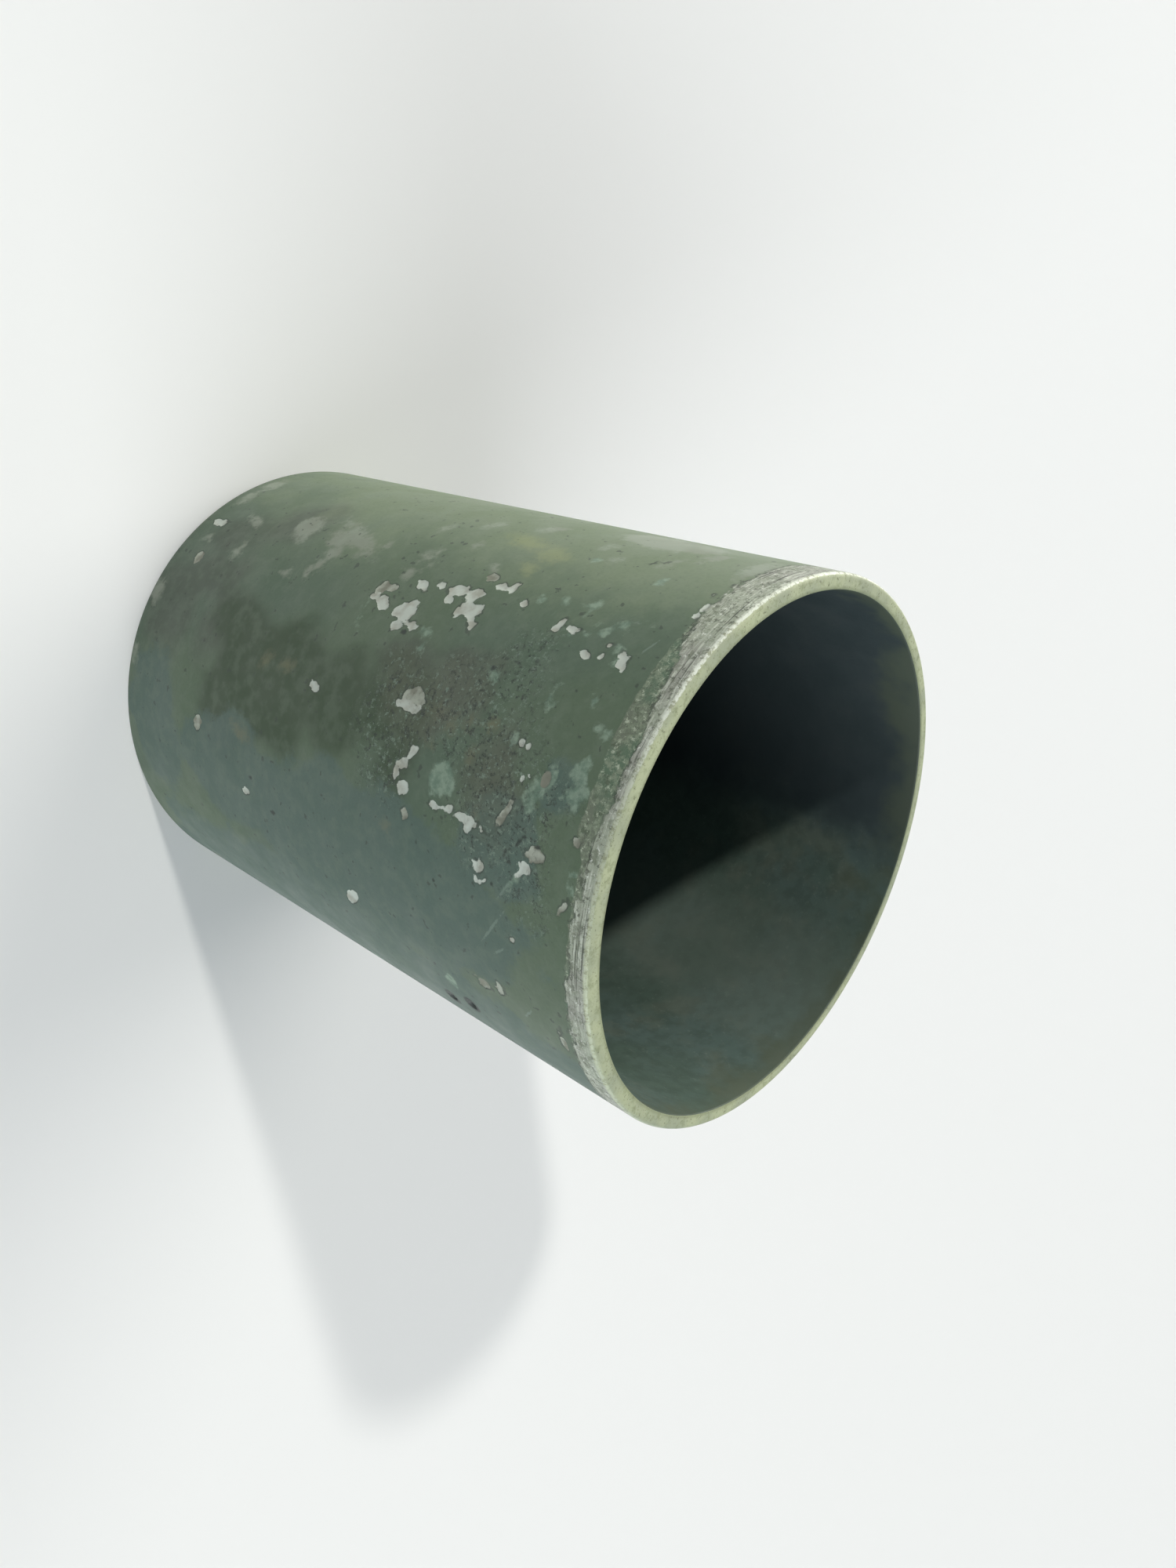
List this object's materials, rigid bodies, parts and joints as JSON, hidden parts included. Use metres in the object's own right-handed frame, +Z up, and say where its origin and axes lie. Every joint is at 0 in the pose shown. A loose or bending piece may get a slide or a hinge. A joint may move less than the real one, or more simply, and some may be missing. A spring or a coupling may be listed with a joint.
{
  "type": "candle mold",
  "caption": "Round tube mold for casting a pillar candle, with a push-out base plug and a screw that closes the wick hole.",
  "frame": {"origin": "centre of the foot rim that the mold stands on", "axes": "+Z up the tube towards its open mouth, X and Y across the tube"},
  "size_m": [0.07, 0.07, 0.096],
  "materials": {
    "tube_paint": "old grey-green paint over aluminium, chipped and stained, worn to bare metal round the mouth",
    "plug_aluminium": "turned aluminium with fine rings and a thin film of old wax",
    "seal_rubber": "moulded black rubber, satin",
    "washer_rubber": "soft red-brown sheet rubber, matt",
    "screw_brass": "turned brass, dulled by handling"
  },
  "bodies": {
    "mold": {"mold_tube": "tube_paint"},
    "plug": {"base_plug": "plug_aluminium", "plug_seal_ring": "seal_rubber"},
    "washer": {"wick_washer": "washer_rubber"},
    "screw": {"wick_screw": "screw_brass"}
  },
  "joints": [
    {"name": "plug_push", "type": "slide", "parent": "mold", "child": "plug", "axis": [0, 0, 1], "range_m": [-0.007, 0.086]},
    {"name": "washer_drop", "type": "slide", "parent": "plug", "child": "washer", "axis": [0, 0, -1], "range_m": [0, 0.0056]},
    {"name": "screw_turn", "type": "hinge", "parent": "washer", "child": "screw", "pos_m": [0, 0, 0.0107], "axis": [0, 0, -1], "range_deg": [0, 2520]}
  ],
  "couplings": [
    {"joint": "screw_turn", "follows": "washer_drop", "rad_per_m": 7854}
  ]
}
